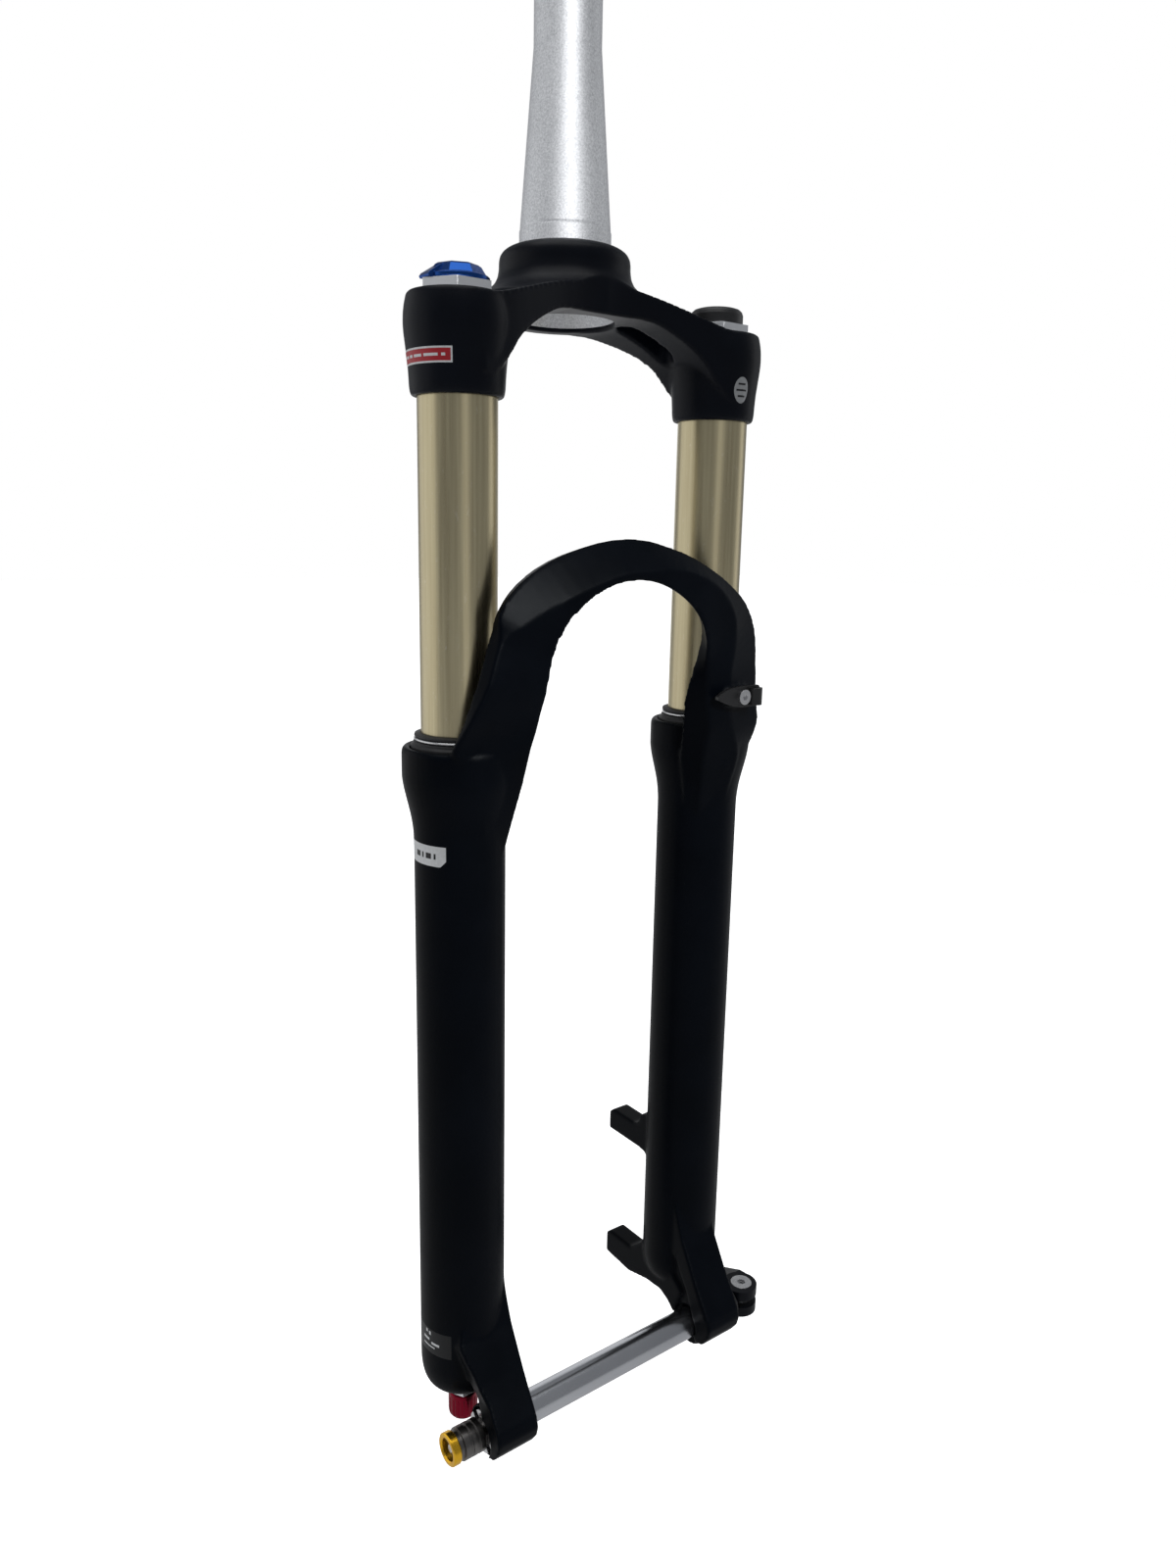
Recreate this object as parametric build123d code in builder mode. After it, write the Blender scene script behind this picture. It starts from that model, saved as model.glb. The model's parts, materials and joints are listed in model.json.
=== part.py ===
import os
from math import cos, radians, sin
from build123d import *

# Air-sprung bicycle suspension fork, in millimetres.
# X runs to the rider's left, Y backwards and Z up.
# The origin is on the steerer axis at the top of the crown.

# Driving dimensions of the chassis
leg_x = 68.5
leg_y = -24.0
axle_y = -48.0
axle_z = -526.0
hub_width = 110.0
axle_r = 7.45
clearance = 0.05

# Steerer
seat_r = 19.9
seat_h = 6.5
taper_top = 78.0
steerer_r = 14.3
steerer_bore = 12.2
steerer_top = 255.0
neck_r = 21.0
root_r = 22.0
root_top = -8.0
root_foot = -28.3

# Crown
crown_top = 0.0
crown_foot = -30.0
boss_r = 28.6
socket_top = -30.3
socket_foot = -68.5

# Stanchions
stanchion_r = 16.0
stanchion_bore = 13.9
stanchion_top = -31.0
stanchion_foot = -370.0

# Lower legs
rim_z = -207.0
tube_r = 19.5
bulge_r = 24.2
foot_z = -513.0
floor_z = -501.0
leg_bore = 16.6
bush_r = 17.5
seal_seat_r = 20.5
seal_seat_z = -214.0
foam_z = -221.0
foam_r = 19.4
bush_length = 20.0
upper_bush_z = -242.0
lower_bush_z = -357.0
foot_hole_r = 5.2
spotface_r = 8.2
socket_room_r = 21.8

# Dropouts and brake posts
inner_x = hub_width / 2
rib_x = 53.0
flange_x = 67.0
boss_x = 72.0
boss_lug_r = 11.6
flange_room_r = 10.5
hub_seat_r = 9.8
hub_seat_depth = 1.5
post_x = 58.5
post_width = 11.0
post_face_y = 20.0
post_spacing = 74.2
post_mid_z = -475.3
post_hole_r = 3.0
post_hole_depth = 16.0

# Both ends of the axle
pivot_x = 94.0
cheek_r = 9.0
cheek_top = 7.4
fork_gap = 2.1
cam_offset = 0.75
cam_gap = 0.3
petal_travel = 2.8
push_travel = 2.0

os.makedirs("parts", exist_ok=True)



def upright(x, y, z):
    """A level plane at a point."""
    return Plane((x, y, z))


def across(x):
    """A plane square to the wheel axle, its local axes running backwards and up."""
    return Plane((x, axle_y, axle_z), x_dir=(0, 1, 0), z_dir=(1, 0, 0))


def bar(plane, outer, length, inner=0, mode=Mode.ADD):
    """A round bar or tube that stands on a plane."""
    with BuildSketch(plane) as ring:
        Circle(outer)
        if inner:
            Circle(inner, mode=Mode.SUBTRACT)
    extrude(ring.sketch, amount=length, mode=mode)


def hexagon(plane, across_flats, length, mode=Mode.ADD):
    """A hexagonal prism that stands on a plane."""
    with BuildSketch(plane) as flats:
        RegularPolygon(across_flats / 2, 6, major_radius=False)
    extrude(flats.sketch, amount=length, mode=mode)


def turned(x, y, outline, mode=Mode.ADD):
    """A body of revolution about an upright line, from (radius, height) points."""
    with BuildSketch(Plane((x, y, 0), x_dir=(1, 0, 0), z_dir=(0, -1, 0))) as section:
        with BuildLine():
            Polyline(*outline, close=True)
        make_face()
    revolve(section.sketch, axis=Axis((x, y, 0), (0, 0, 1)), mode=mode)


def turned_axle(outline, mode=Mode.ADD):
    """A body of revolution about the wheel axle, from (x, radius) points."""
    with BuildSketch(Plane((0, axle_y, axle_z), x_dir=(1, 0, 0), z_dir=(0, -1, 0))) as section:
        with BuildLine():
            Polyline(*outline, close=True)
        make_face()
    revolve(section.sketch, axis=Axis((0, axle_y, axle_z), (1, 0, 0)), mode=mode)


def plate(x, thickness, outline, mode=Mode.ADD):
    """A plate square to X, from (y, z) points; it grows outwards from x."""
    side = 1 if x > 0 else -1
    with BuildSketch(Plane((x, 0, 0), x_dir=(0, 1, 0), z_dir=(1, 0, 0))) as profile:
        with BuildLine():
            Polyline(*outline, close=True)
        make_face()
    extrude(profile.sketch, amount=side * thickness, mode=mode)


def save(piece, label):
    """Label a finished piece and write it."""
    piece.part.label = label
    export_step(piece.part, f"parts/{label}.step")


# ---------------------------------------------------------------- steerer

with BuildPart() as steerer:
    turned(0, 0, [
        (root_r - 0.5, root_foot), (root_r, root_foot), (root_r, root_top), (neck_r, root_top),
        (neck_r, crown_top), (seat_r, crown_top), (seat_r, seat_h), (seat_r - 0.5, seat_h + 0.3),
        (seat_r - 0.3, seat_h + 1.2), (steerer_r, taper_top), (steerer_r, steerer_top - 1),
        (steerer_r - 1, steerer_top), (steerer_bore, steerer_top), (steerer_bore, taper_top),
        (16.5, crown_top), (17, root_foot + 6.3),
    ])
save(steerer, "steerer")


# ---------------------------------------------------------------- crown

with BuildPart() as crown:
    # the arms: a front view
    with BuildSketch(Plane.XZ) as front_view:
        with BuildLine():
            top = Spline(
                (0, -17), (20, -19.3), (29, -21.3), (36, -23.2), (44, -25.6), (54, -28.6),
                (leg_x, -31),
            )
            Line(top @ 1, (leg_x, -60))
            Line((leg_x, -60), (62, -60))
            under = Spline(
                (62, -60), (57, -55.5), (53, -51), (50, -46.8), (45, -42), (40, -38.3),
                (33, -34.3), (27, -31.6), (20, -30.3),
            )
            Line(under @ 1, (20, crown_foot))
            Line((20, crown_foot), (0, crown_foot))
            Line((0, crown_foot), top @ 0)
        make_face()
        mirror(about=Plane.YZ)
    extrude(front_view.sketch, amount=45, both=True)
    # the steerer boss, flared at its foot
    turned(0, 0, [
        (0, crown_foot), (42, crown_foot), (42, -22.5), (37.5, -20.4), (33.6, -18.2),
        (30.8, -15.6), (29.2, -12.5), (boss_r, -9), (boss_r, -6), (28.2, -4), (27, -2.3),
        (25, -1), (22.5, -0.2), (neck_r + 0.5, crown_top), (0, crown_top),
    ])
    # both cut to the plan view
    with BuildSketch(Plane.XY.offset(-90)) as plan_view:
        with BuildLine():
            front = Spline((0, -31), (16, -31.5), (38, -36.5), (58, -41.5))
            Line(front @ 1, (leg_x, -44))
            Line((leg_x, -44), (leg_x, -4))
            rear = Spline((leg_x, -4), (54, -5), (36, 8), (20, 23), (0, 29.5))
            Line(rear @ 1, front @ 0)
        make_face()
        mirror(about=Plane.YZ)
    extrude(plan_view.sketch, amount=100, mode=Mode.INTERSECT)
    # the sockets that hold the stanchions
    for side in (-1, 1):
        turned(side * leg_x, leg_y, [
            (0, socket_foot), (17.6, socket_foot), (18.5, -67.6), (18.9, -65), (19.15, -60),
            (19.45, -56), (19.9, -52.4), (20.3, -49), (20.8, -45), (21, -41.8), (20.9, -38),
            (20.5, -34.7), (19.7, -31.1), (18.9, socket_top), (0, socket_top),
        ])
    bar(upright(0, 0, socket_foot), root_r, root_top - socket_foot, mode=Mode.SUBTRACT)
    bar(upright(0, 0, socket_foot), neck_r, 90, mode=Mode.SUBTRACT)
    for side in (-1, 1):
        bar(upright(side * leg_x, leg_y, socket_foot - 1), stanchion_r, 50, mode=Mode.SUBTRACT)
        # a pocket under each arm saves weight
        with BuildSketch(Plane((side * 35, -14, -62), x_dir=(1, -side * 0.3, 0))) as slot:
            SlotOverall(27, 11.4)
        extrude(slot.sketch, amount=36, mode=Mode.SUBTRACT)
save(crown, "crown")


# ---------------------------------------------------------------- stanchions

for side, label in ((1, "stanchion_left"), (-1, "stanchion_right")):
    with BuildPart() as stanchion:
        turned(side * leg_x, leg_y, [
            (stanchion_bore, stanchion_foot), (stanchion_r - 1, stanchion_foot),
            (stanchion_r, stanchion_foot + 2), (stanchion_r, stanchion_top),
            (stanchion_bore, stanchion_top),
        ])
    save(stanchion, label)


# ---------------------------------------------------------------- lower legs

arch_z = -190.0
arch_steps = 3
# Sections of the arch, from the middle down to the leg: how far the section is turned from
# upright, how far its centre has dropped, and five corners as (distance from centre, y).
# The corners are rear outer, front outer, crease, front inner and rear inner.
arch_middle = [
    (0, 0, [(67, -41), (68.7, -49), (55.1, -57.4), (51.6, -57), (53, -41)]),
]
arch_right = [
    (20, 0, [(67.5, -41), (69.3, -49.5), (54.2, -57.4), (51.2, -57), (55, -41)]),
    (38, 0, [(71, -42), (72.9, -50), (57, -57.3), (50.3, -57), (57.8, -42)]),
    (50, 0, [(73.8, -43.5), (75.9, -50.5), (62, -56.2), (49.3, -56.5), (58.6, -43.5)]),
    (60, 0, [(75.2, -46), (77, -51.5), (67.3, -55.5), (47.8, -55.5), (55.5, -44.5)]),
    (67, 0, [(74.2, -46.5), (73, -52.5), (71.8, -53.5), (46.5, -55), (49, -44.5)]),
    (81, 0, [(75.3, -47), (73.6, -53.5), (72.9, -54), (45.5, -54), (41.8, -45)]),
    (90, 3, [(79, -45.3), (79, -50), (78.2, -50.8), (46.5, -51.5), (41, -42)]),
    (90, 10, [(81.3, -43.6), (81.6, -46.8), (80.9, -47.6), (48, -50.8), (41.8, -40.5)]),
    (90, 17, [(83.5, -41.5), (83.5, -44), (82, -45.5), (50, -50), (43, -39)]),
    (90, 32, [(82, -34), (78.5, -42.5), (74, -46.5), (51, -46), (46, -35)]),
]
# the left root is broader in front, where it carries the hose guide
arch_left = [
    (10, 0, [(67.2, -41), (68.9, -49.2), (56.6, -57.4), (51.5, -57), (53.6, -41)]),
    (20, 0, [(67.5, -41), (69.3, -49.5), (59.8, -57.2), (51.2, -57), (55, -41)]),
    (38, 0, [(71, -42), (72.9, -50), (65.6, -56.8), (50.3, -57), (57.8, -42)]),
    (50, 0, [(74.2, -43.5), (77.2, -50), (68.5, -56), (49.3, -56.5), (58.6, -43.5)]),
    (60, 0, [(77.5, -44.5), (81.3, -50), (68, -55.5), (47.8, -55.5), (55.5, -44.5)]),
    (70, 0, [(78, -44.5), (82.2, -50), (63.7, -55), (46, -54), (46.5, -46)]),
    (81, 0, [(78.5, -43.5), (80.1, -50), (59, -54.5), (45.5, -53), (41.8, -45)]),
    (90, 3, [(80.5, -42), (80, -50), (58.5, -53.5), (46.5, -51.5), (41, -42)]),
    (90, 17, [(88, -36), (84, -48), (64, -51), (50, -50), (43, -39)]),
    (90, 32, [(86, -34), (82, -43), (71, -48.5), (51, -46), (46, -35)]),
]
arch_foot = [
    (90, 50, [(82, -32), (77.5, -40), (69, -44.5), (54, -42), (50, -34)]),
    (90, 68, [(80, -32), (75.5, -38), (68.5, -41.5), (56.5, -37.5), (52.5, -32)]),
]



def between(values, share):
    """Catmull-Rom value a share of the way from the second of four values to the third."""
    before, start, end, after = values
    slope_in = (end - before) / 2
    slope_out = (after - start) / 2
    rest = 1 - share
    return (
        start * rest * rest * (1 + 2 * share) + end * share * share * (3 - 2 * share)
        + slope_in * share * rest * rest - slope_out * share * share * rest
    )


def arch_section(side, station):
    """The face of one arch section, from [turn, drop, reach, y, reach, y, ...]."""
    turn = radians(station[0]) * side
    reaches = station[2::2]
    depths = station[3::2]
    plane = Plane(
        (0, 0, arch_z - station[1]),
        x_dir=(sin(turn), 0, cos(turn)), z_dir=(cos(turn), 0, -sin(turn)),
    )
    with BuildSketch(plane) as section:
        with BuildLine():
            Polyline(*[(reach, -depth) for reach, depth in zip(reaches, depths)], close=True)
        make_face()
    return section.sketch


def half_arch(side, stations):
    """Finely spaced sections from the middle of the arch to one leg."""
    rows = [[turn, drop] + [v for corner in corners for v in corner]
            for turn, drop, corners in stations]
    mirrored = [-rows[1][0]] + rows[1][1:]
    rows = [mirrored] + rows + [rows[-1]]
    faces = []
    for index in range(1, len(rows) - 2):
        for step in range(arch_steps):
            quartet = zip(*rows[index - 1:index + 3])
            faces.append(arch_section(side, [between(v, step / arch_steps) for v in quartet]))
    return faces + [arch_section(side, rows[-1])]



def arch_sections():
    """The sections of the arch from the right leg over the wheel to the left leg."""
    right = half_arch(-1, arch_middle + arch_right + arch_foot)
    left = half_arch(1, arch_middle + arch_left + arch_foot)
    return right[:0:-1] + left


# Side views of the dropouts and brake posts, as (y, z) points
rib_side_view = [
    (-34, -452), (-36.5, -460), (-39.5, -470), (-43, -479.5), (-48.3, -489), (-52.8, -497),
    (-56.8, -503.5), (-61, -510), (-64.5, -515.5), (-66, -520.5), (-65, -525.5),
    (-61, -531), (-56, -533), (-53, -528), (-52.5, -519), (-48, -508), (-42, -499),
    (-36, -488), (-30, -470),
]
dropout_web = [
    (-34, -466), (-14, -480), (-16, -497), (-21, -504), (-28, -511), (-33.5, -520),
    (-44, -528), (-58, -528), (-60, -512), (-50, -497),
]
heel_web = [
    (post_face_y, -520.8), (0, -522.5), (-16.5, -518.7), (-27, -518.4), (-33, -521),
    (-38, -525.6), (-44, -510), (-20, -490), (0, -508), (post_face_y, -509.5),
]
upper_post = [
    (post_face_y, -433.5), (17.5, -431.3), (0, -431.3), (-3, -430.4), (-5, -428),
    (-6, -424), (-16, -420), (-16, -448), (-12, -444.4), (-6, -443.7),
    (post_face_y, -443.6),
]
lower_post = [
    (post_face_y, -509), (17.5, -507), (0, -507), (-4, -505.8), (-7, -503), (-16, -500),
    (-16, -508), (-10, -519), (0, -522), (post_face_y, -520.8),
]
# Front views of the ribs, as (distance from the middle, z) points of the outer edge
rib_edge = {
    1: [(75.5, -445), (75.5, -545)],
    -1: [
        (66, -445), (74, -462), (79, -474), (81.5, -482), (80, -488), (78, -494),
        (76.8, -500), (75, -506), (75, -545),
    ],
}


def rib(side):
    """The front rib of a dropout: its side view cut to its front view."""
    with BuildSketch(Plane((0, 0, 0), x_dir=(0, 1, 0), z_dir=(1, 0, 0))) as profile:
        with BuildLine():
            Polyline(*rib_side_view, close=True)
        make_face()
    with BuildSketch(Plane((0, 0, 0), x_dir=(1, 0, 0), z_dir=(0, -1, 0))) as frontage:
        with BuildLine():
            edge = [(side * reach, z) for reach, z in rib_edge[side]]
            Polyline((side * rib_x, -545), (side * rib_x, -445), *edge, close=True)
        make_face()
    broad = extrude(profile.sketch, amount=side * 95, mode=Mode.PRIVATE)
    deep = extrude(frontage.sketch, amount=90, mode=Mode.PRIVATE)
    add(broad & deep)


with BuildPart() as lower_legs:
    for side in (-1, 1):
        with BuildSketch(
            Plane((side * leg_x, leg_y, 0), x_dir=(1, 0, 0), z_dir=(0, -1, 0))
        ) as leg_section:
            with BuildLine():
                base = Line((0, foot_z), (10.5, foot_z))
                toe = Bezier(base @ 1, (16.8, foot_z), (19.5, -508.5), (tube_r, -497))
                shaft = Line(toe @ 1, (tube_r, -250))
                swell = Bezier(shaft @ 1, (tube_r, -236), (23.2, -230), (bulge_r, -220))
                collar = Line(swell @ 1, (bulge_r, rim_z - 3))
                lip = Bezier(collar @ 1, (bulge_r, rim_z), (21.9, rim_z))
                Line(lip @ 1, (0, rim_z))
                Line((0, rim_z), (0, foot_z))
            make_face()
        revolve(leg_section.sketch, axis=Axis((side * leg_x, leg_y, 0), (0, 0, 1)))
        rib(side)
        plate(side * inner_x, flange_x - inner_x, dropout_web)
        bar(across(side * boss_x), boss_lug_r, -side * (boss_x - inner_x))
    loft(arch_sections(), ruled=True)
    for outline in (upper_post, lower_post):
        plate(post_x - post_width / 2, post_width, outline)
    plate(rib_x, 7, heel_web)
    # a raised pad for the hose guide
    guide_pad = Plane((63.5, -54.8, -192), x_dir=(1, 0, 0), z_dir=(0, -1, 0))
    with BuildSketch(guide_pad) as pad_outline:
        SlotOverall(18, 8.8)
    extrude(pad_outline.sketch, amount=-5)

    for side in (-1, 1):
        leg = side * leg_x
        # room behind the arch for the crown socket at full travel
        bar(upright(leg, leg_y, rim_z - 0.5), socket_room_r, 90, mode=Mode.SUBTRACT)
        turned(leg, leg_y, [
            (0, floor_z), (leg_bore, floor_z), (leg_bore, lower_bush_z), (bush_r, lower_bush_z),
            (bush_r, foam_z), (foam_r + 0.1, foam_z), (foam_r + 0.1, seal_seat_z),
            (seal_seat_r, seal_seat_z), (seal_seat_r, rim_z + 1), (0, rim_z + 1),
        ], mode=Mode.SUBTRACT)
        bar(upright(leg, leg_y, foot_z - 1), foot_hole_r, 20, mode=Mode.SUBTRACT)
        bar(upright(leg, leg_y, foot_z), spotface_r, -30, mode=Mode.SUBTRACT)
        bar(across(side * (boss_x + 1)), axle_r + 0.05, -side * 20, mode=Mode.SUBTRACT)
        # the recesses round each end of the axle and round the hub's ends
        bar(across(side * flange_x), flange_room_r, side * 20, mode=Mode.SUBTRACT)
        bar(across(side * inner_x), hub_seat_r, side * hub_seat_depth, mode=Mode.SUBTRACT)
    for step in (-1, 1):
        hole = Plane(
            (post_x, post_face_y, post_mid_z + step * post_spacing / 2),
            x_dir=(1, 0, 0), z_dir=(0, 1, 0),
        )
        bar(hole, post_hole_r, -post_hole_depth, mode=Mode.SUBTRACT)
    bar(guide_pad.offset(1), 2.0, -9, mode=Mode.SUBTRACT)
save(lower_legs, "lower_legs")


# ---------------------------------------------------------------- seals and bushings

def in_both_legs(label, outline):
    """The same turned ring in each leg, from (radius, height) points."""
    with BuildPart() as rings:
        for side in (-1, 1):
            turned(side * leg_x, leg_y, outline)
    save(rings, label)


lip_r = stanchion_r + clearance
in_both_legs("wiper_seals", [
    (lip_r, seal_seat_z + 0.1), (seal_seat_r - clearance, seal_seat_z + 0.1),
    (seal_seat_r - clearance, rim_z + 0.4), (19.2, rim_z + 1.2), (19.2, rim_z + 2.0),
    (18.1, rim_z + 2.6), (18.1, rim_z + 3.9), (18.8, rim_z + 4.4), (18.6, rim_z + 5.2),
    (16.6, rim_z + 5.7), (lip_r, rim_z + 5.6),
])
in_both_legs("garter_springs", [
    (18.15, rim_z + 2.75), (18.65, rim_z + 2.75), (18.95, rim_z + 3.0), (18.95, rim_z + 3.5),
    (18.65, rim_z + 3.75), (18.15, rim_z + 3.75),
])
in_both_legs("foam_rings", [
    (lip_r, foam_z + 0.1), (foam_r, foam_z + 0.1), (foam_r, seal_seat_z - 0.1),
    (lip_r, seal_seat_z - 0.1),
])
for label, bush_z in (("upper_bushings", upper_bush_z), ("lower_bushings", lower_bush_z)):
    in_both_legs(label, [
        (lip_r, bush_z), (bush_r, bush_z), (bush_r, bush_z + bush_length),
        (lip_r, bush_z + bush_length),
    ])
in_both_legs("crush_washers", [
    (4.2, foot_z - 1.5), (7.5, foot_z - 1.5), (7.5, foot_z), (4.2, foot_z),
])


# ---------------------------------------------------------------- air spring, left leg

air_x = leg_x
plug_foot = -46.0
flange_r = 15.6
cap_top = -26.2
air_head_z = -362.0
shaft_r = 5.0
piston_z = -330.0

with BuildPart() as air_top_cap:
    bar(upright(air_x, leg_y, plug_foot), stanchion_bore - clearance, socket_top - plug_foot)
    bar(upright(air_x, leg_y, stanchion_top), flange_r, 0.9)
    hexagon(upright(air_x, leg_y, socket_top), 26, cap_top - socket_top)
    bar(upright(air_x, leg_y, cap_top - 0.2), 4.6, 5.5)
    bar(upright(air_x, leg_y, plug_foot), 3.0, 30, mode=Mode.SUBTRACT)
    bar(upright(air_x, leg_y, plug_foot), 4.4, 8, mode=Mode.SUBTRACT)
save(air_top_cap, "air_top_cap")

with BuildPart() as valve_core:
    bar(upright(air_x, leg_y, cap_top - 16), 2.9, 17, inner=1.1)
save(valve_core, "valve_core")

with BuildPart() as valve_pin:
    bar(upright(air_x, leg_y, cap_top - 17.5), 1.0, 22)
    bar(upright(air_x, leg_y, cap_top - 18.5), 2.2, 1.4)
save(valve_pin, "valve_pin")

with BuildPart() as valve_cap:
    turned(air_x, leg_y, [
        (4.75, cap_top + 0.15), (11.5, cap_top + 0.15), (12, cap_top + 0.7),
        (12, cap_top + 4.4), (11.5, cap_top + 5.8), (10.4, cap_top + 6.8), (8.8, cap_top + 7.3),
        (0, cap_top + 7.4), (0, cap_top + 5.9), (4.75, cap_top + 5.9),
    ])
save(valve_cap, "valve_cap")

with BuildPart() as air_shaft:
    bar(upright(air_x, leg_y, floor_z + 0.1), 7.6, 3)
    bar(upright(air_x, leg_y, floor_z + 3), shaft_r, piston_z - floor_z - 3)
    bar(upright(air_x, leg_y, floor_z), 3.05, 22, mode=Mode.SUBTRACT)
save(air_shaft, "air_shaft")

with BuildPart() as air_piston:
    turned(air_x, leg_y, [
        (0, piston_z), (13.2, piston_z), (13.2, piston_z + 5), (11.3, piston_z + 5),
        (11.3, piston_z + 8), (13.2, piston_z + 8), (13.2, piston_z + 13), (0, piston_z + 13),
    ])
save(air_piston, "air_piston")

with BuildPart() as air_piston_seal:
    bar(upright(air_x, leg_y, piston_z + 5.1), stanchion_bore - 0.03, 2.8, inner=11.35)
save(air_piston_seal, "air_piston_seal")

with BuildPart() as air_seal_head:
    bar(upright(air_x, leg_y, air_head_z), stanchion_bore - clearance, 14, inner=shaft_r + 0.04)
save(air_seal_head, "air_seal_head")

with BuildPart() as topout_bumper:
    bar(upright(air_x, leg_y, air_head_z + 14), 9, 12, inner=shaft_r + 0.1)
save(topout_bumper, "topout_bumper")

with BuildPart() as retaining_ring:
    bar(upright(air_x, leg_y, air_head_z - 1.6), stanchion_bore - 0.03, 1.5, inner=11.2)
    with BuildSketch(upright(air_x, leg_y - 12, air_head_z - 2)) as ring_gap:
        Rectangle(5, 8)
    extrude(ring_gap.sketch, amount=3, mode=Mode.SUBTRACT)
save(retaining_ring, "retaining_ring")

with BuildPart() as bottom_out_bumper:
    bar(upright(air_x, leg_y, floor_z + 3.2), 9, 7, inner=shaft_r + clearance)
save(bottom_out_bumper, "bottom_out_bumper")

with BuildPart() as foot_bolt:
    hexagon(upright(air_x, leg_y, foot_z - 7), 10, 5.5)
    bar(upright(air_x, leg_y, foot_z - 1.6), 3.0, 30)
    hexagon(upright(air_x, leg_y, foot_z - 7), 5, 3.5, mode=Mode.SUBTRACT)
save(foot_bolt, "foot_bolt")


# ---------------------------------------------------------------- damper, right leg

damper_x = -leg_x
cartridge_r = 12.0
cartridge_bore = 10.9
cartridge_top = -39.1
cartridge_foot = -362.0
rod_r = 5.0
rebound_z = -340.0
adjuster_r = 1.8
knob_z = -534.0

with BuildPart() as damper_top_cap:
    bar(upright(damper_x, leg_y, plug_foot), stanchion_bore - clearance, socket_top - plug_foot)
    bar(upright(damper_x, leg_y, stanchion_top), flange_r, 0.9)
    hexagon(upright(damper_x, leg_y, socket_top), 26, cap_top - socket_top)
    bar(upright(damper_x, leg_y, plug_foot - 1), 3.1, 30, mode=Mode.SUBTRACT)
    bar(upright(damper_x, leg_y, plug_foot - 1), cartridge_r + clearance, 8, mode=Mode.SUBTRACT)
save(damper_top_cap, "damper_top_cap")

dial_foot = cap_top + 0.15
with BuildPart() as lockout_dial:
    turned(damper_x, leg_y, [
        (0, dial_foot), (12.5, dial_foot), (12.8, dial_foot + 0.4), (12.8, dial_foot + 1.6),
        (12.2, dial_foot + 2.1), (0, dial_foot + 2.1),
    ])
    with BuildSketch(upright(damper_x, leg_y, dial_foot + 2)) as dial_waist:
        RegularPolygon(11.8, 8)
    with BuildSketch(upright(damper_x, leg_y, dial_foot + 5.4)) as dial_shoulder:
        RegularPolygon(9.6, 8)
    loft([dial_waist.sketch, dial_shoulder.sketch])
    with BuildSketch(upright(damper_x, leg_y, dial_foot + 5.3)) as dial_rim:
        RegularPolygon(9.6, 8)
    with BuildSketch(upright(damper_x, leg_y, dial_foot + 6.1)) as dial_face:
        RegularPolygon(8.4, 8)
    loft([dial_rim.sketch, dial_face.sketch])
    # the thumb tab slopes down from the face
    with BuildSketch(Plane((damper_x, leg_y, 0), x_dir=(1, 0, 0), z_dir=(0, -1, 0))) as ramp:
        with BuildLine():
            Polyline(
                (-4, dial_foot), (-14.2, dial_foot), (-14.6, dial_foot + 0.8),
                (-13.8, dial_foot + 1.9), (-8, dial_foot + 5.6), (-4, dial_foot + 5.6), close=True,
            )
        make_face()
    extrude(ramp.sketch, amount=3.6, both=True)
    bar(upright(damper_x, leg_y, dial_foot - 1), 3.1, 6, mode=Mode.SUBTRACT)
save(lockout_dial, "lockout_dial")

with BuildPart() as lockout_spindle:
    bar(upright(damper_x, leg_y, -64), 3.0, dial_foot + 4.9 + 64)
save(lockout_spindle, "lockout_spindle")

with BuildPart() as compression_valve:
    bar(upright(damper_x, leg_y, -80), cartridge_bore - clearance, 14, inner=3.1)
    bar(upright(damper_x, leg_y, -80), 5, 3)
    with BuildSketch(upright(damper_x, leg_y, -81)) as valve_ports:
        with PolarLocations(7.4, 6):
            Circle(1.5)
    extrude(valve_ports.sketch, amount=20, mode=Mode.SUBTRACT)
save(compression_valve, "compression_valve")

with BuildPart() as cartridge_tube:
    bar(
        upright(damper_x, leg_y, cartridge_foot), cartridge_r, cartridge_top - cartridge_foot,
        inner=cartridge_bore,
    )
save(cartridge_tube, "cartridge_tube")

with BuildPart() as cartridge_head:
    bar(
        upright(damper_x, leg_y, cartridge_foot - 6), stanchion_bore - clearance, 5.9,
        inner=rod_r + 0.04,
    )
    bar(
        upright(damper_x, leg_y, cartridge_foot - 1), cartridge_bore - clearance, 13,
        inner=rod_r + 0.04,
    )
save(cartridge_head, "cartridge_head")

with BuildPart() as damper_rod:
    bar(upright(damper_x, leg_y, floor_z + 0.1), 7.6, 3)
    bar(upright(damper_x, leg_y, floor_z + 3), rod_r, rebound_z - floor_z - 3)
    bar(upright(damper_x, leg_y, floor_z), 3.6, 14, mode=Mode.SUBTRACT)
    bar(upright(damper_x, leg_y, floor_z), adjuster_r + 0.1, 150, mode=Mode.SUBTRACT)
save(damper_rod, "damper_rod")

with BuildPart() as rebound_piston:
    turned(damper_x, leg_y, [
        (0, rebound_z), (10.2, rebound_z), (10.2, rebound_z + 4), (9.4, rebound_z + 4),
        (9.4, rebound_z + 8), (10.2, rebound_z + 8), (10.2, rebound_z + 12), (0, rebound_z + 12),
    ])
    with BuildSketch(upright(damper_x, leg_y, rebound_z - 1)) as piston_ports:
        with PolarLocations(7.2, 6):
            Circle(1.3)
    extrude(piston_ports.sketch, amount=20, mode=Mode.SUBTRACT)
save(rebound_piston, "rebound_piston")

with BuildPart() as piston_band:
    bar(upright(damper_x, leg_y, rebound_z + 4.1), cartridge_bore - 0.03, 3.8, inner=9.45)
save(piston_band, "piston_band")

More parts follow.
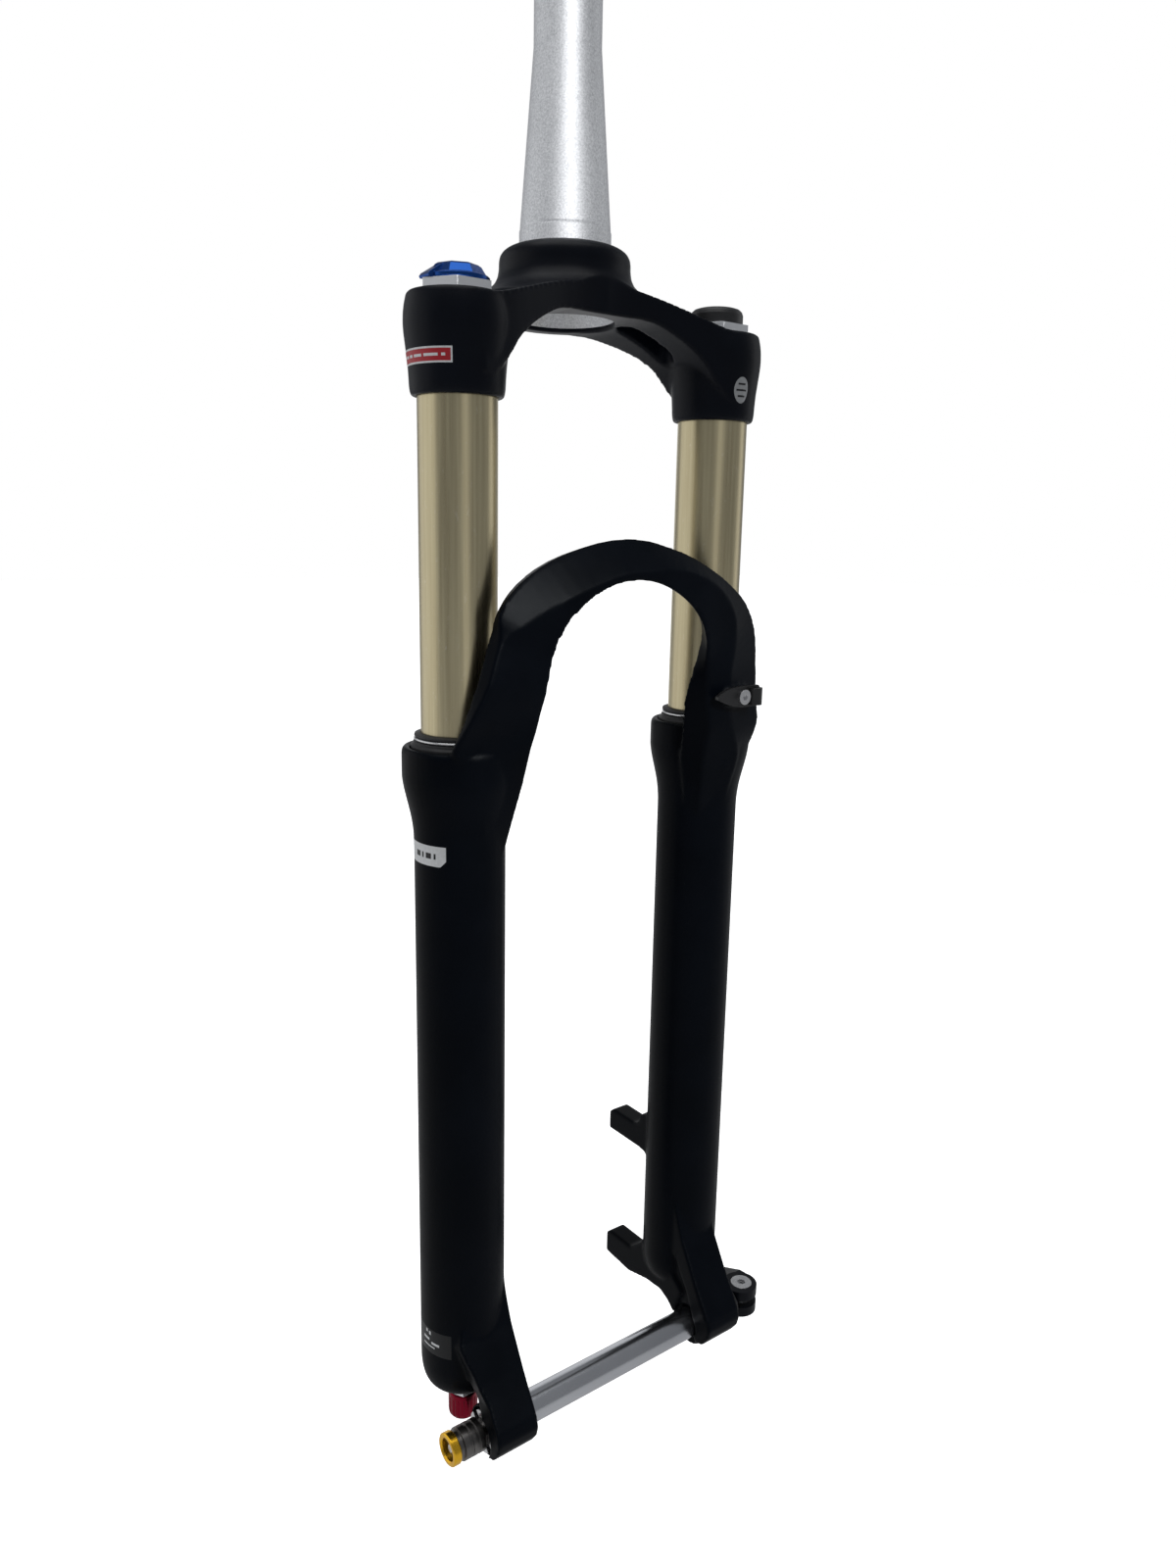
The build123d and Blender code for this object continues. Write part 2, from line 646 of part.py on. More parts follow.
with BuildPart() as foot_nut:
    hexagon(upright(damper_x, leg_y, foot_z - 7), 13, 5.5)
    bar(upright(damper_x, leg_y, foot_z - 1.6), 3.55, 24)
    bar(upright(damper_x, leg_y, foot_z - 8), adjuster_r + 0.1, 40, mode=Mode.SUBTRACT)
save(foot_nut, "foot_nut")

with BuildPart() as rebound_adjuster:
    bar(upright(damper_x, leg_y, knob_z + 3), adjuster_r, 160)
save(rebound_adjuster, "rebound_adjuster")

with BuildPart() as rebound_knob:
    turned(damper_x, leg_y, [
        (0, knob_z), (4.6, knob_z), (5.9, knob_z + 0.5), (6.7, knob_z + 1.5), (7, knob_z + 3),
        (7, knob_z + 13), (6.6, knob_z + 13.6), (0, knob_z + 13.6),
    ])
    with BuildSketch(upright(damper_x, leg_y, knob_z - 1)) as grips:
        with PolarLocations(7.6, 16):
            Circle(0.95)
    extrude(grips.sketch, amount=12, mode=Mode.SUBTRACT)
    bar(upright(damper_x, leg_y, knob_z + 2.9), adjuster_r + 0.02, 12, mode=Mode.SUBTRACT)
save(rebound_knob, "rebound_knob")


# ---------------------------------------------------------------- wheel axle

petal_near = -flange_x - 0.15
petal_far = -72.6
petal_r = 7.4
barrel_near = -72.8
barrel_r = 7.45
groove_r = 7.0
neck_end = -85.5
barrel_end = -88.5
spring_seat = -79.5
rod_far = -89.8
draw_rod_r = 1.8
eye_r = 6.2
eye_half = 1.95
ring_out = -91.5
ring_bore = 5.0

with BuildPart() as axle_tube:
    turned_axle([
        (-flange_x, draw_rod_r + 0.1), (-flange_x, axle_r - 1), (-flange_x + 1, axle_r),
        (boss_x + 1, axle_r), (boss_x + 1, 5), (boss_x - 6, 5), (boss_x - 6, 5.6),
        (-flange_x + 8, 5.6), (-flange_x + 8, draw_rod_r + 0.1),
    ])
save(axle_tube, "axle_tube")

for index, turn in enumerate((0, 90, 180, 270)):
    outwards = (0, cos(radians(turn)), sin(radians(turn)))
    plane = Plane((petal_far, axle_y, axle_z), x_dir=outwards, z_dir=(1, 0, 0))
    with BuildPart() as petal:
        with BuildSketch(plane) as sector:
            with Locations((petal_travel, 0)):
                Circle(petal_r)
                Circle(2.7, mode=Mode.SUBTRACT)
            with BuildLine():
                Polyline(
                    (petal_travel + 0.3, 0), (petal_travel + 10, 9.7), (petal_travel + 10, -9.7),
                    close=True,
                )
            make_face(mode=Mode.INTERSECT)
        extrude(sector.sketch, amount=petal_near - petal_far)
    save(petal, f"flange_petal_{index + 1}")

with BuildPart() as axle_barrel:
    turned_axle([
        (barrel_near, draw_rod_r + 0.03), (barrel_near, 6.4), (-74, 6.4), (-74.8, barrel_r),
        (-77.6, barrel_r), (-77.8, groove_r), (-78.6, groove_r), (-78.8, barrel_r),
        (-81, barrel_r), (-81.2, groove_r), (-82, groove_r), (-82.2, barrel_r),
        (neck_end + 0.2, barrel_r), (neck_end, 6.5), (barrel_end, 6.5), (barrel_end, 4.3),
        (spring_seat, 4.3), (spring_seat, draw_rod_r + 0.03),
    ])
save(axle_barrel, "axle_barrel")

with BuildPart() as release_ring:
    turned_axle([
        (neck_end - 2.1, 6.55), (neck_end - 2.1, 7.2), (neck_end - 2.5, barrel_r),
        (ring_out + 0.5, barrel_r), (ring_out, 6.9), (ring_out, ring_bore + 0.6),
        (ring_out + 0.6, ring_bore), (barrel_end - push_travel - 0.1, ring_bore),
        (barrel_end - push_travel - 0.1, 6.55),
    ])
save(release_ring, "release_ring")

with BuildPart() as release_spring:
    bar(across(barrel_end + 0.2), 4.1, spring_seat - barrel_end - 0.4, inner=3.0)
save(release_spring, "release_spring")

with BuildPart() as draw_rod:
    bar(across(rod_far), draw_rod_r, pivot_x - 4 - rod_far)
    bar(upright(pivot_x, axle_y, axle_z - eye_half), eye_r, 2 * eye_half)
    bar(upright(pivot_x, axle_y, axle_z - 12), 2.55, 24, mode=Mode.SUBTRACT)
save(draw_rod, "draw_rod")

base_face = pivot_x - cheek_r - cam_offset - cam_gap
with BuildPart() as lever_base:
    turned_axle([
        (flange_x + 0.1, axle_r + 0.1), (flange_x + 0.1, 10.4), (boss_x + 1.5, 10.4),
        (boss_x + 3, 9.4), (base_face - 1, 9.2), (base_face, 8.4), (base_face, 3.4),
        (boss_x + 3, 3.4), (boss_x + 3, axle_r + 0.1),
    ])
save(lever_base, "lever_base")

screw_seat = cheek_top - 1.6
screw_r = 5.6
with BuildPart() as cam_lever:
    for foot in (-cheek_top, fork_gap):
        with BuildSketch(upright(pivot_x - cam_offset, axle_y, axle_z + foot)) as cheek:
            Circle(cheek_r)
        extrude(cheek.sketch, amount=cheek_top - fork_gap)
    # the handle: a plan view cut to a rear view that narrows to the tip
    with BuildSketch(upright(0, 0, axle_z - cheek_top)) as handle:
        with BuildLine():
            inner = Spline(
                (pivot_x - 3, axle_y + 7.6), (pivot_x - 1, axle_y + 22), (pivot_x - 5, axle_y + 58),
            )
            tip = ThreePointArc(
                inner @ 1, (pivot_x - 3, axle_y + 61), (pivot_x - 0.5, axle_y + 59.5),
            )
            outer = Spline(tip @ 1, (pivot_x + 4.5, axle_y + 24), (pivot_x + 7.5, axle_y + 4))
            Line(outer @ 1, inner @ 0)
        make_face()
    grip = extrude(handle.sketch, amount=2 * cheek_top, mode=Mode.PRIVATE)
    with BuildSketch(Plane((0, axle_y, axle_z), x_dir=(0, 1, 0), z_dir=(1, 0, 0))) as taper:
        with BuildLine():
            Polyline(
                (0, cheek_top), (8, cheek_top), (13, 5.6), (20, 3.2), (34, 1.2), (54, -0.6),
                (60, -1.6), (62, -3.6), (61, -5.6), (57, -6.6), (40, -cheek_top),
                (0, -cheek_top), close=True,
            )
        make_face()
    add(grip & extrude(taper.sketch, amount=pivot_x + 20, mode=Mode.PRIVATE))
    bar(upright(pivot_x, axle_y, axle_z - fork_gap), eye_r + 1, 2 * fork_gap, mode=Mode.SUBTRACT)
    bar(upright(pivot_x, axle_y, axle_z - 15), 2.55, 30, mode=Mode.SUBTRACT)
    bar(upright(pivot_x, axle_y, axle_z + screw_seat), screw_r + 0.1, 2, mode=Mode.SUBTRACT)
save(cam_lever, "cam_lever")

with BuildPart() as lever_pin:
    bar(upright(pivot_x, axle_y, axle_z - cheek_top + 0.2), 2.5, cheek_top + screw_seat)
    bar(upright(pivot_x, axle_y, axle_z + screw_seat + 0.1), screw_r, 1.5)
    hexagon(upright(pivot_x, axle_y, axle_z + screw_seat + 0.3), 4, 2, mode=Mode.SUBTRACT)
save(lever_pin, "lever_pin")


# ---------------------------------------------------------------- hose guide

guide_back = guide_pad.offset(0.1)

with BuildPart() as hose_guide:
    # a tapered foot with a hose clip at its outer end
    with BuildSketch(guide_back) as guide_foot:
        with BuildLine():
            Polyline(
                (-15, -0.6), (-11, -2.4), (-5, -4.3), (0, -5), (9.6, -5), (11.2, -3.8),
                (11.2, 4.2), (10.4, 4.9), (0, 4.9), (-7, 4.2), (-12, 2.6), (-15, 0.8), close=True,
            )
        make_face()
    extrude(guide_foot.sketch, amount=2.2)
    bar(upright(70.9, guide_back.origin.Y - 3.4, -196), 3.2, 8, inner=2.0)
    bar(guide_back.offset(-1), 2.05, 6, mode=Mode.SUBTRACT)
save(hose_guide, "hose_guide")

with BuildPart() as hose_guide_bolt:
    bolt_seat = guide_back.offset(2.25)
    bar(bolt_seat, 3.5, 2.2)
    bar(bolt_seat, 1.95, -8)
    hexagon(bolt_seat.offset(0.9), 2.5, 2, mode=Mode.SUBTRACT)
save(hose_guide_bolt, "hose_guide_bolt")
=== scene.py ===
import json
import math

import bpy
from mathutils import Matrix, Vector
from mathutils.bvhtree import BVHTree


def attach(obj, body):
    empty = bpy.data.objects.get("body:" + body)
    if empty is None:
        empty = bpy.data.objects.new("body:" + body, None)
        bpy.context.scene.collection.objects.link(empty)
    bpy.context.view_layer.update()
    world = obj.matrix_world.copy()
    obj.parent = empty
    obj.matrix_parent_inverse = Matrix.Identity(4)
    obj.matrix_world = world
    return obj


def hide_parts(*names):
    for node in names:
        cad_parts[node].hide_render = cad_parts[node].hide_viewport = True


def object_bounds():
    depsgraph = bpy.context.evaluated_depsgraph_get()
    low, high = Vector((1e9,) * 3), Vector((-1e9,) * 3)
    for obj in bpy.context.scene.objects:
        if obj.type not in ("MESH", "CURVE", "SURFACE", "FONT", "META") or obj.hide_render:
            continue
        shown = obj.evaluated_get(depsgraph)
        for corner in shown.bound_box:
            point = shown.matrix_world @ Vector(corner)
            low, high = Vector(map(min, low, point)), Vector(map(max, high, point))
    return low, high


MM = 0.001

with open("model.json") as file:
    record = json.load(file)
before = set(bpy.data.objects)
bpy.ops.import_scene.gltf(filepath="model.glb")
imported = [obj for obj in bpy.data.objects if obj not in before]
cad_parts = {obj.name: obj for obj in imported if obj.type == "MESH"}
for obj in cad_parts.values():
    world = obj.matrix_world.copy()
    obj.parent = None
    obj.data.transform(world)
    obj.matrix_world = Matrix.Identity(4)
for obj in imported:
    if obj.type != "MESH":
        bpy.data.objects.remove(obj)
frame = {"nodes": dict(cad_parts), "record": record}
nodes = frame["nodes"]
cad_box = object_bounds()
slot_of = {row["node"]: row["material_slot"] for row in frame["record"]["subparts"]}
body_of = {
    node: body
    for body, members in frame["record"]["behaviour"]["bodies"].items()
    for node in members
}


def add_object(name, data):
    """Put new data into the scene under a name."""
    thing = bpy.data.objects.new(name, data)
    bpy.context.scene.collection.objects.link(thing)
    return thing


# ------------------------------------------------------------------ shader helpers

class Shader:
    """A material with short calls for the nodes that the finishes share."""

    def __init__(self, name):
        self.material = bpy.data.materials.new(name)
        self.material.use_nodes = True
        self.tree = self.material.node_tree
        self.surface = self.tree.nodes["Principled BSDF"]
        self.place = self.tree.nodes.new("ShaderNodeTexCoord").outputs["Object"]

    def link(self, source, node, socket):
        """Feed a node's input from an output socket."""
        self.tree.links.new(source, node.inputs[socket])

    def scaled(self, scale):
        """Object coordinates stretched by a factor on each axis."""
        mapping = self.tree.nodes.new("ShaderNodeMapping")
        mapping.inputs["Scale"].default_value = scale
        self.link(self.place, mapping, "Vector")
        return mapping.outputs["Vector"]

    def noise(self, scale, detail=4.0, roughness=0.55, stretch=(1, 1, 1)):
        """Fractal noise; scale counts its features per metre."""
        node = self.tree.nodes.new("ShaderNodeTexNoise")
        node.inputs["Scale"].default_value = scale
        node.inputs["Detail"].default_value = detail
        node.inputs["Roughness"].default_value = roughness
        self.link(self.scaled(stretch), node, "Vector")
        return node.outputs["Fac"]

    def remap(self, source, low, high, to_low, to_high):
        """Carry the range low to high over to another range."""
        node = self.tree.nodes.new("ShaderNodeMapRange")
        for socket, value in zip(("From Min", "From Max", "To Min", "To Max"),
                                 (low, high, to_low, to_high)):
            node.inputs[socket].default_value = value
        self.link(source, node, "Value")
        return node.outputs["Result"]

    def mix(self, factor, first, second):
        """Blend two colours; each is a colour tuple or a socket."""
        node = self.tree.nodes.new("ShaderNodeMix")
        node.data_type = "RGBA"
        self.link(factor, node, 0)
        for socket, value in ((6, first), (7, second)):
            if isinstance(value, tuple):
                node.inputs[socket].default_value = (*value, 1)
            else:
                self.link(value, node, socket)
        return node.outputs[2]

    def soft_edges(self, width):
        """A normal that rounds sharp edges off by a width in metres."""
        bevel = self.tree.nodes.new("ShaderNodeBevel")
        bevel.samples = 4
        bevel.inputs["Radius"].default_value = width
        return bevel.outputs["Normal"]

    def bump(self, height, strength, distance, under=None):
        """A normal raised by a height, on top of another normal if one is given."""
        node = self.tree.nodes.new("ShaderNodeBump")
        node.inputs["Strength"].default_value = strength
        node.inputs["Distance"].default_value = distance
        self.link(height, node, "Height")
        if under:
            self.link(under, node, "Normal")
        return node.outputs["Normal"]

    def set(self, **values):
        """Set or link inputs of the surface; underscores stand for spaces."""
        for key, value in values.items():
            socket = self.surface.inputs[key.replace("_", " ")]
            if isinstance(value, tuple):
                socket.default_value = (*value, 1)
            elif isinstance(value, (int, float)):
                socket.default_value = value
            else:
                self.tree.links.new(value, socket)
        return self


# ------------------------------------------------------------------ finishes

def painted_casting(name, base, lift, shine):
    """Matt black powder paint over a casting: fine orange peel and handling haze."""
    s = Shader(name)
    haze = s.noise(28, 5, 0.6)
    speck = s.noise(2600, 2, 0.5)
    s.set(
        Base_Color=s.mix(s.remap(haze, 0.35, 0.7, 0, 1), base, lift),
        Roughness=s.remap(haze, 0.3, 0.7, 0.36, 0.44),
        Normal=s.bump(speck, 0.12, 0.0002),
        Specular_IOR_Level=shine,
    )
    return s.material


TURNED_ON_X = (60, 1, 1)
TURNED_ON_Z = (1, 1, 60)


def anodised(name, deep, light, rough, grain=TURNED_ON_Z):
    """Anodised or bare metal with a faint turned grain round one axis and a slow colour drift."""
    s = Shader(name)
    drift = s.noise(14, 3, 0.5)
    lines = s.noise(900, 2, 0.5, stretch=grain)
    s.set(
        Base_Color=s.mix(s.remap(drift, 0.3, 0.7, 0, 1), deep, light),
        Metallic=1.0,
        Roughness=s.remap(lines, 0.3, 0.7, rough - 0.04, rough + 0.05),
        Normal=s.bump(lines, 0.05, 0.0001, s.soft_edges(0.0003)),
    )
    return s.material


def champagne_tube():
    """Satin champagne anodising with a drawn grain along the tube and light handling marks."""
    s = Shader("champagne_anodising")
    drawn = s.noise(700, 2, 0.5, stretch=(1, 1, 0.02))
    marks = s.noise(420, 4, 0.65, stretch=(1, 1, 0.5))
    tone = s.mix(s.remap(drawn, 0.3, 0.7, 0, 1), (0.50, 0.43, 0.27), (0.60, 0.53, 0.34))
    s.set(
        Base_Color=s.mix(s.remap(marks, 0.62, 0.80, 0, 0.6), tone, (0.75, 0.70, 0.58)),
        Metallic=1.0,
        Roughness=s.remap(drawn, 0.3, 0.7, 0.27, 0.33),
        Normal=s.bump(drawn, 0.04, 0.0001, s.soft_edges(0.0003)),
    )
    return s.material


def blasted_aluminium():
    """Sand-blasted aluminium of the steerer: bright, satin, with a fine grain."""
    s = Shader("blasted_aluminium")
    grain = s.noise(1300, 3, 0.7)
    smear = s.noise(30, 4, 0.6, stretch=(1, 1, 0.35))
    s.set(
        Base_Color=s.mix(s.remap(grain, 0.3, 0.7, 0, 1), (0.50, 0.51, 0.53), (0.84, 0.85, 0.87)),
        Metallic=0.85,
        Roughness=s.remap(smear, 0.3, 0.7, 0.48, 0.58),
        Normal=s.bump(grain, 0.25, 0.0002, s.soft_edges(0.0003)),
    )
    return s.material


def rubber(name, base):
    """Matt rubber or foam with a little dust."""
    s = Shader(name)
    dust = s.noise(60, 5, 0.6)
    dusty = tuple(v * 2.5 + 0.01 for v in base)
    s.set(
        Base_Color=s.mix(s.remap(dust, 0.4, 0.75, 0, 1), base, dusty),
        Roughness=s.remap(dust, 0.3, 0.7, 0.45, 0.62),
        Normal=s.bump(s.noise(1800, 3), 0.2, 0.0002, s.soft_edges(0.0004)),
        Specular_IOR_Level=0.35,
    )
    return s.material


def moulded(name, base, rough):
    """Fine-textured moulded plastic."""
    s = Shader(name)
    grain = s.noise(1500, 3, 0.6)
    cloud = s.noise(40, 3, 0.5)
    lifted = tuple(v * 1.6 + 0.004 for v in base)
    s.set(
        Base_Color=s.mix(s.remap(cloud, 0.3, 0.7, 0, 1), base, lifted),
        Roughness=s.remap(grain, 0.3, 0.7, rough - 0.06, rough + 0.08),
        Normal=s.bump(grain, 0.15, 0.0002, s.soft_edges(0.0005)),
    )
    return s.material


def printed(name, base):
    """Ink on a thin sticker: even colour with a little grain."""
    s = Shader(name)
    grain = s.noise(900, 3, 0.6)
    faded = tuple(v * 0.86 for v in base)
    s.set(
        Base_Color=s.mix(s.remap(grain, 0.3, 0.7, 0, 1), base, faded),
        Roughness=s.remap(grain, 0.3, 0.7, 0.32, 0.44),
        Specular_IOR_Level=0.4,
    )
    return s.material


finishes = {
    "satin_aluminium": blasted_aluminium(),
    "black_alloy": painted_casting(
        "crown_paint", (0.0008, 0.0018, 0.0050), (0.0018, 0.0034, 0.0080), shine=0.13
    ),
    "black_magnesium": painted_casting(
        "leg_paint", (0.0004, 0.0010, 0.0022), (0.0010, 0.0018, 0.0036), shine=0.05
    ),
    "gold_anodised": champagne_tube(),
    "black_rubber": rubber("seal_rubber", (0.010, 0.010, 0.011)),
    "spring_steel": anodised("bright_steel", (0.62, 0.62, 0.63), (0.72, 0.72, 0.73), 0.22),
    "foam": rubber("foam", (0.05, 0.05, 0.05)),
    "bushing": anodised("bronze", (0.45, 0.32, 0.16), (0.52, 0.38, 0.20), 0.35),
    "silver_anodised": anodised("silver_anodising", (0.76, 0.77, 0.79), (0.86, 0.87, 0.89), 0.32),
    "brass": anodised("brass", (0.65, 0.50, 0.24), (0.72, 0.57, 0.30), 0.28),
    "black_plastic": moulded("black_plastic", (0.010, 0.010, 0.011), 0.38),
    "polished_aluminium": anodised("polished_aluminium", (0.70, 0.70, 0.72), (0.78, 0.78, 0.80), 0.18),
    "inner_plastic": moulded("inner_plastic", (0.05, 0.05, 0.055), 0.45),
    "elastomer": rubber("elastomer", (0.20, 0.16, 0.05)),
    "blue_anodised": anodised("blue_anodising", (0.012, 0.055, 0.25), (0.022, 0.09, 0.35), 0.26),
    "red_anodised": anodised("red_anodising", (0.16, 0.004, 0.014), (0.26, 0.009, 0.028), 0.30),
    "axle_steel": anodised("axle_metal", (0.44, 0.45, 0.48), (0.56, 0.57, 0.60), 0.20, TURNED_ON_X),
    "grey_anodised": anodised(
        "grey_anodising", (0.13, 0.125, 0.12), (0.19, 0.18, 0.175), 0.30, TURNED_ON_X
    ),
    "yellow_anodised": anodised("ring_anodising", (0.85, 0.45, 0.02), (0.95, 0.58, 0.05), 0.24),
}
ink = {
    "red": printed("red_ink", (0.42, 0.012, 0.022)),
    "white": printed("white_ink", (0.72, 0.73, 0.74)),
    "grey": printed("grey_ink", (0.34, 0.35, 0.36)),
    "black": printed("black_ink", (0.008, 0.008, 0.010)),
    "clear": painted_casting(
        "clear_film", (0.0012, 0.0016, 0.0026), (0.0030, 0.0036, 0.0050), shine=0.30
    ),
}


def dress(piece, finish):
    """Give a piece one material."""
    piece.data.materials.clear()
    piece.data.materials.append(finish)
    for face in piece.data.polygons:
        face.material_index = 0


for name, node in nodes.items():
    dress(node, finishes[slot_of[name]])


# ------------------------------------------------------------------ castings

def cast_copy(name, voxel, rounds):
    """A copy of a casting with its edges and inner corners softly rounded."""
    piece = add_object(f"{name}_casting", nodes[name].data.copy())
    remesh = piece.modifiers.new("remesh", "REMESH")
    remesh.mode = "VOXEL"
    remesh.voxel_size = voxel
    smooth = piece.modifiers.new("smooth", "SMOOTH")
    smooth.factor = 0.5
    smooth.iterations = rounds
    seen = piece.evaluated_get(bpy.context.evaluated_depsgraph_get())
    rounded = bpy.data.meshes.new_from_object(seen)
    piece.modifiers.clear()
    piece.data = rounded
    for face in rounded.polygons:
        face.use_smooth = True
    dress(piece, finishes[slot_of[name]])
    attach(piece, body_of[name])
    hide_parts(name)
    return piece


crown = cast_copy("crown", 0.8 * MM, 5)
legs = cast_copy("lower_legs", 0.85 * MM, 4)


# ------------------------------------------------------------------ stickers

# where the legs' upright axes stand, in mm
RIGHT_LEG = Vector((-68.5, -24, 0))
LEFT_LEG = Vector((68.5, -24, 0))


class Wrap:
    """Lays flat shapes round an upright leg or socket, a hair above its surface.

    Its sizes are in mm, and its turn is in degrees from the rider's left, seen from above.
    """

    SKIN_RADIUS = 20
    OUTSIDE = 40
    SINK = -0.1
    STEP = 0.8
    DISC_CELLS = 14

    def __init__(self, host, cad_node, axis, turn, height):
        """Start from a piece, the CAD node it stands for, an upright axis and the wrap's middle."""
        mesh = host.data
        corners = [vertex.co for vertex in mesh.vertices]
        faces = [tuple(face.vertices) for face in mesh.polygons]
        self.tree = BVHTree.FromPolygons(corners, faces)
        self.body = body_of[cad_node]
        self.axis = axis
        self.turn = math.radians(turn)
        self.height = height

    def point(self, across, up, lift):
        """The point a distance in mm round the surface and up from the middle of the wrap."""
        turn = self.turn + across / self.SKIN_RADIUS
        out = Vector((math.cos(turn), math.sin(turn), 0))
        start = (self.axis + Vector((0, 0, self.height + up)) + out * self.OUTSIDE) * MM
        place = self.tree.ray_cast(start, -out)[0]
        return place + out * lift * MM

    def lay(self, name, rows, lift, colour):
        """A skin over rows of (across, up) points, closed by a thin edge below."""
        spots = [spot for row in rows for spot in row]
        verts = [self.point(*spot, height) for height in (lift, self.SINK) for spot in spots]
        width = len(rows[0])
        count = len(spots)
        faces = []
        for r in range(len(rows) - 1):
            for c in range(width - 1):
                first = r * width + c
                top = (first, first + 1, first + width + 1, first + width)
                faces.append(top)
                faces.append(tuple(corner + count for corner in (top[0], top[3], top[2], top[1])))
        rim = list(range(width))
        rim += [r * width + width - 1 for r in range(1, len(rows))]
        rim += [(len(rows) - 1) * width + c for c in range(width - 2, -1, -1)]
        rim += [r * width for r in range(len(rows) - 2, 0, -1)]
        for here, there in zip(rim, rim[1:] + rim[:1]):
            faces.append((there, here, here + count, there + count))
        mesh = bpy.data.meshes.new(name)
        mesh.from_pydata(verts, [], faces)
        mesh.validate()
        piece = add_object(name, mesh)
        dress(piece, ink[colour])
        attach(piece, self.body)

    def band(self, name, left, right, low, high, lift, colour, cut=0.0):
        """A strip; cut slopes its lower right corner off."""
        steps = max(2, round((right - left) / self.STEP))
        rows = []
        for share in (0, 0.25, 0.5, 0.75, 1):
            row = []
            for step in range(steps + 1):
                across = left + (right - left) * step / steps
                foot = low + max(0.0, cut - (right - across))
                row.append((across, foot + (high - foot) * share))
            rows.append(row)
        self.lay(name, rows, lift, colour)

    def disc(self, name, radius, lift, colour, squash=1.0):
        """A round spot on the wrap's middle: a square grid pressed into a circle, squashed across."""
        rows = []
        for r in range(self.DISC_CELLS + 1):
            v = 2 * r / self.DISC_CELLS - 1
            row = []
            for c in range(self.DISC_CELLS + 1):
                u = 2 * c / self.DISC_CELLS - 1
                x = u * math.sqrt(1 - v * v / 2)
                y = v * math.sqrt(1 - u * u / 2)
                row.append((radius * squash * x, radius * y))
            rows.append(row)
        self.lay(name, rows, lift, colour)


def socket_banner():
    """Red banner with a white edge and white bars on the damper side's socket."""
    mark = Wrap(crown, "crown", RIGHT_LEG, -139.2, -54.9)
    mark.band("socket_banner_edge", -24.0, 4.6, -2.9, 2.9, 0.06, "white")
    mark.band("socket_banner", -24.0, 3.9, -2.2, 2.2, 0.10, "red")
    bars = ((-21.0, 3.2), (-16.6, 2.2), (-13.2, 4.4), (-7.6, 6.4), (0.2, 1.6))
    for index, (start, width) in enumerate(bars, 1):
        mark.band(f"socket_banner_bar_{index}", start, start + width, -0.5, 0.5, 0.14, "white")


def socket_spot():
    """Grey oval with three bars on the air side's socket."""
    mark = Wrap(crown, "crown", LEFT_LEG, -93.8, -55.4)
    mark.disc("socket_spot", 5.6, 0.08, "grey", 0.72)
    bars = ((2.2, 2.0), (-0.4, 2.8), (-3.0, 2.0))
    for index, (low, half) in enumerate(bars, 1):
        mark.band(f"socket_spot_bar_{index}", -half, half, low, low + 0.8, 0.14, "black")


def leg_label():
    """White band with one cut corner and black bars, below the damper side's seal."""
    mark = Wrap(legs, "lower_legs", RIGHT_LEG, -138.0, -251.2)
    mark.band("leg_label", -26.0, 0.0, -4.3, 4.4, 0.06, "white", 2.6)
    bars = ((-17.0, 3.0), (-12.6, 1.0), (-10.2, 3.0), (-5.8, 1.0))
    for index, (start, width) in enumerate(bars, 1):
        mark.band(f"leg_label_bar_{index}", start, start + width, -1.2, 1.2, 0.10, "black")


def foot_label():
    """Dark clear film with a few white marks, just above the damper side's foot."""
    mark = Wrap(legs, "lower_legs", RIGHT_LEG, -152.0, -483.5)
    mark.band("foot_film", -22.0, 5.5, -6.6, 5.6, 0.04, "clear")
    marks = (
        (-9.5, 1.2, 3.2, 4.8),
        (-7.2, 1.2, 2.6, 4.4),
        (-11.5, 4.4, -0.6, 0.6),
        (-5.6, 4.8, -1.8, -0.6),
        (-11.5, 8.0, -3.6, -3.0),
    )
    for index, (start, width, low, high) in enumerate(marks, 1):
        mark.band(f"foot_mark_{index}", start, start + width, low, high, 0.08, "white")


socket_banner()
socket_spot()
leg_label()
foot_label()


# ------------------------------------------------------------------ stage, light and camera

def soft_light(name, place, aim, size, power, tint=(1, 1, 1)):
    """An area lamp that the camera doesn't see; metres and watts."""
    data = bpy.data.lights.new(name, "AREA")
    data.shape = "RECTANGLE"
    data.size, data.size_y = size
    data.energy = power
    data.color = tint
    lamp = add_object(name, data)
    lamp.visible_camera = False
    lamp.location = place
    lamp.rotation_euler = (Vector(aim) - Vector(place)).to_track_quat("-Z", "Y").to_euler()
    return lamp


def shine_on(lamp, pieces):
    """Keep a lamp's light to some pieces."""
    lit = bpy.data.collections.new(f"{lamp.name}_receivers")
    for piece in pieces:
        lit.objects.link(piece)
    lamp.light_linking.receiver_collection = lit


def lay_floor():
    """A pale floor below the fork; the camera sees it as white, and the fork gets its soft bounce."""
    gap_below = 0.16
    height = cad_box[0].z - gap_below
    edge = 12
    corners = [(-edge, -edge, height), (edge, -edge, height), (edge, edge, height), (-edge, edge, height)]
    mesh = bpy.data.meshes.new("floor")
    mesh.from_pydata(corners, [], [(0, 1, 2, 3)])
    floor = add_object("floor", mesh)
    s = Shader("pale_floor")
    direct = s.tree.nodes.new("ShaderNodeLightPath").outputs["Is Camera Ray"]
    s.set(
        Base_Color=(0.85, 0.85, 0.85),
        Roughness=s.remap(s.noise(3), 0.3, 0.7, 0.75, 0.85),
        Emission_Color=(1, 1, 1),
        Emission_Strength=s.remap(direct, 0, 1, 0.05, 1.0),
    )
    mesh.materials.append(s.material)


